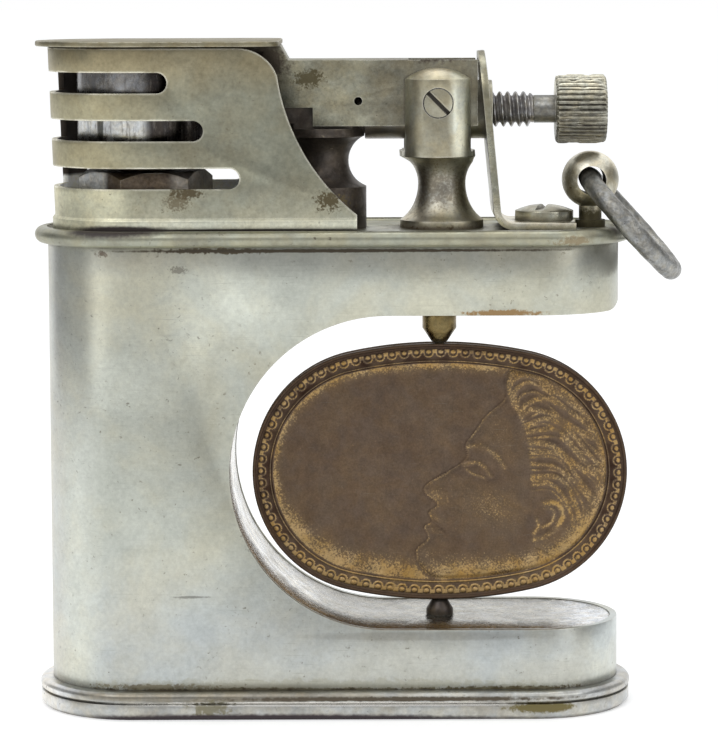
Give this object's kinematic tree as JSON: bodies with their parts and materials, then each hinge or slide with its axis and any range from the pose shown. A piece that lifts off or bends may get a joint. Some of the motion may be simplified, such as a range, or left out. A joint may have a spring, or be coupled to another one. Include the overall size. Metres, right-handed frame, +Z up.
{
  "type": "petrol pocket lighter",
  "caption": "Lift-arm petrol lighter: C-shaped tank round a spinning oval medallion, slotted windguard, sparking wheel, knurled flint screw, snuffer lid, leaf spring, chain ring.",
  "frame": {"origin": "on the table, under the middle of the tank's base, between its two round ends", "axes": "+X towards the flint screw and the ring, +Y from the front to the back, +Z up"},
  "size_m": [0.0454, 0.0138, 0.0468],
  "materials": {
    "nickel_plate": "satin nickel plate with fine scratches and smudges",
    "warm_nickel": "champagne nickel silver, softly mottled",
    "dull_nickel": "dull grimy nickel",
    "bright_steel": "bright steel",
    "dark_steel": "dark oiled steel",
    "bronze": "dark bronze, worn golden on the high parts",
    "brass": "plain brass",
    "flint_metal": "matt grey sparking metal",
    "cotton": "soft cotton",
    "seal_rubber": "matt rubber"
  },
  "bodies": {
    "tank": {"outer_shell": "nickel_plate", "cutout_liner": "nickel_plate", "deck_plate": "nickel_plate", "base_cap": "nickel_plate", "cotton_wadding": "cotton", "wick": "cotton", "burner": "dull_nickel", "windguard": "warm_nickel", "wheel_post": "dark_steel", "wheel_axle": "bright_steel", "flint_tube": "dull_nickel", "flint": "flint_metal", "flint_spring": "bright_steel", "pivot_pillar": "warm_nickel", "pivot_screws": "warm_nickel", "leaf_spring": "warm_nickel", "spring_screw": "dull_nickel", "ball_stud": "dull_nickel", "upper_pin": "brass", "lower_pin": "dark_steel"},
    "arm": {"lift_arm": "dull_nickel", "lid_plate": "warm_nickel", "snuffer_cup": "bright_steel"},
    "wheel": {"spark_wheel": "dark_steel"},
    "flint_feed": {"spring_pin": "brass"},
    "knob": {"flint_screw": "dull_nickel"},
    "filler_seal": {"filler_gasket": "seal_rubber"},
    "filler": {"filler_screw": "nickel_plate"},
    "spinner": {"medallion": "bronze"},
    "ring": {"chain_ring": "dull_nickel"}
  },
  "joints": [
    {"name": "arm_lift", "type": "hinge", "parent": "tank", "child": "arm", "pos_m": [0.0073, 0, 0.04249], "axis": [0, 1, 0], "range_deg": [0, 90], "deforming": ["leaf_spring"]},
    {"name": "wheel_spin", "type": "hinge", "parent": "tank", "child": "wheel", "pos_m": [-0.0052, 0, 0.04245], "axis": [0, 1, 0], "continuous": true},
    {"name": "flint_feed_slide", "type": "slide", "parent": "tank", "child": "flint_feed", "axis": [1, 0, 0], "range_m": [-0.0041, 0.0022], "deforming": ["flint_spring"]},
    {"name": "knob_turn", "type": "hinge", "parent": "flint_feed", "child": "knob", "pos_m": [0.01557, 0, 0.0419], "axis": [1, 0, 0], "range_deg": [-2690, 1445]},
    {"name": "filler_slide", "type": "slide", "parent": "tank", "child": "filler_seal", "axis": [0, 0, -1], "range_m": [0, 0.0028]},
    {"name": "filler_turn", "type": "hinge", "parent": "filler_seal", "child": "filler", "pos_m": [-0.008, 0, 0.0009], "axis": [0, 0, -1], "range_deg": [0, 2020]},
    {"name": "medallion_spin", "type": "hinge", "parent": "tank", "child": "spinner", "pos_m": [0.00745, 0, 0.01638], "axis": [0, 0, 1], "continuous": true},
    {"name": "ring_swing", "type": "hinge", "parent": "tank", "child": "ring", "pos_m": [0.01804, 0, 0.03697], "axis": [0, -1, 0], "range_deg": [0, 150]}
  ],
  "couplings": [
    {"joint": "knob_turn", "follows": "flint_feed_slide", "rad_per_m": 11424},
    {"joint": "filler_turn", "follows": "filler_slide", "rad_per_m": 12566}
  ]
}
